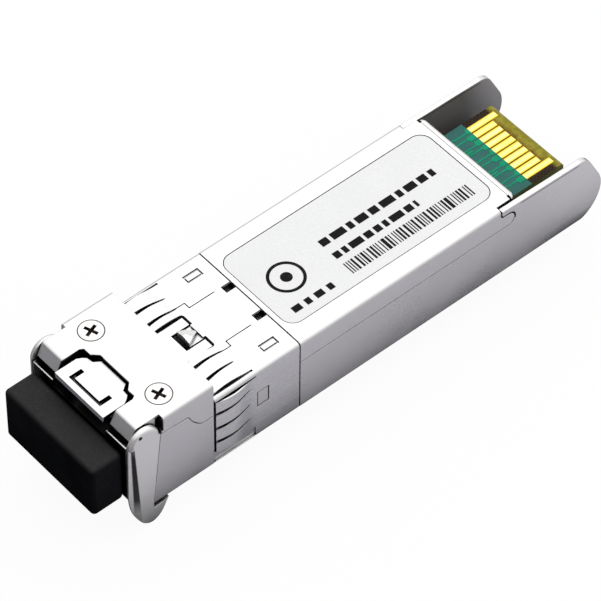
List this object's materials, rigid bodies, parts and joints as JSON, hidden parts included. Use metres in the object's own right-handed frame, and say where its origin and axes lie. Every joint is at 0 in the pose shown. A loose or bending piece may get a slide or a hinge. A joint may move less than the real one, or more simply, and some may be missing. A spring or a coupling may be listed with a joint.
{
  "type": "optical transceiver module",
  "caption": "Slim pluggable fibre transceiver with a spring contact band, swing-down bail latch, dust plug and a gold edge connector.",
  "frame": {"origin": "centre plane of the module, at the shoulder where the nose meets the part that enters the cage, on the flat face opposite the label", "axes": "+Y along the module from the fibre ports to the edge connector (the way it slides into a cage), +Z out of the label and latch face, +X across"},
  "size_m": [0.014, 0.0567, 0.0126],
  "materials": {
    "cast_base": "nickel-plated zinc casting, satin",
    "cast_cover": "nickel-plated zinc casting, satin",
    "spring_steel": "bright stainless spring sheet",
    "bail_metal": "nickel-plated, satin",
    "lever_metal": "stamped and plated",
    "pin_steel": "ground steel",
    "screw_steel": "plated machine screw",
    "label_film": "silver-white polyester film",
    "black_rubber": "matte moulded rubber",
    "barrel_metal": "turned stainless",
    "white_ceramic": "polished zirconia",
    "lens_glass": "clear",
    "can_metal": "gold-plated package",
    "flex_film": "amber polyimide film",
    "clip_metal": "stainless sheet",
    "grey_gasket": "conductive elastomer",
    "board_green": "solder mask over glass fibre",
    "track_green": "copper under solder mask",
    "contact_gold": "hard gold plate",
    "chip_black": "moulded epoxy",
    "capacitor_tan": "fired ceramic",
    "resistor_black": "glazed chip",
    "pad_pink": "silicone gap pad"
  },
  "bodies": {
    "root": {"base_shell": "cast_base", "upper_cover": "cast_cover", "emi_spring_band": "spring_steel", "lever_pin": "pin_steel", "latch_spring": "pin_steel", "cover_screws": "screw_steel", "rating_label": "label_film", "transmit_receptacle": "barrel_metal", "receive_receptacle": "barrel_metal", "ferrule_sleeves": "white_ceramic", "coupling_lenses": "lens_glass", "transmit_can_holder": "barrel_metal", "receive_can_holder": "barrel_metal", "laser_can": "can_metal", "photodiode_can": "can_metal", "transmit_flex": "flex_film", "receive_flex": "flex_film", "assembly_clip": "clip_metal", "nose_gasket": "grey_gasket", "circuit_board": "board_green", "edge_contacts_top": "contact_gold", "edge_contacts_bottom": "contact_gold", "board_traces": "track_green", "laser_driver_chip": "chip_black", "receiver_amplifier_chip": "chip_black", "controller_chip": "chip_black", "capacitors": "capacitor_tan", "resistors": "resistor_black", "thermal_pad": "pad_pink"},
    "bail_body": {"bail": "bail_metal", "bail_cam_shaft": "pin_steel"},
    "lever_body": {"latch_lever": "lever_metal"},
    "plug_body": {"dust_plug": "black_rubber"}
  },
  "joints": [
    {"name": "bail_swing", "type": "hinge", "parent": "root", "child": "bail_body", "pos_m": [0, -0.0073, 0.0088], "axis": [-1, 0, 0], "range_deg": [0, 100]},
    {"name": "latch_rock", "type": "hinge", "parent": "root", "child": "lever_body", "pos_m": [0, -0.0036, 0.0089], "axis": [1, 0, 0], "range_deg": [0, 6], "deforming": ["latch_spring"]},
    {"name": "dust_plug_slide", "type": "slide", "parent": "root", "child": "plug_body", "axis": [0, -1, 0], "range_m": [0, 0.03]}
  ],
  "couplings": [
    {"joint": "latch_rock", "follows": "bail_swing", "ratio": 0.06}
  ]
}
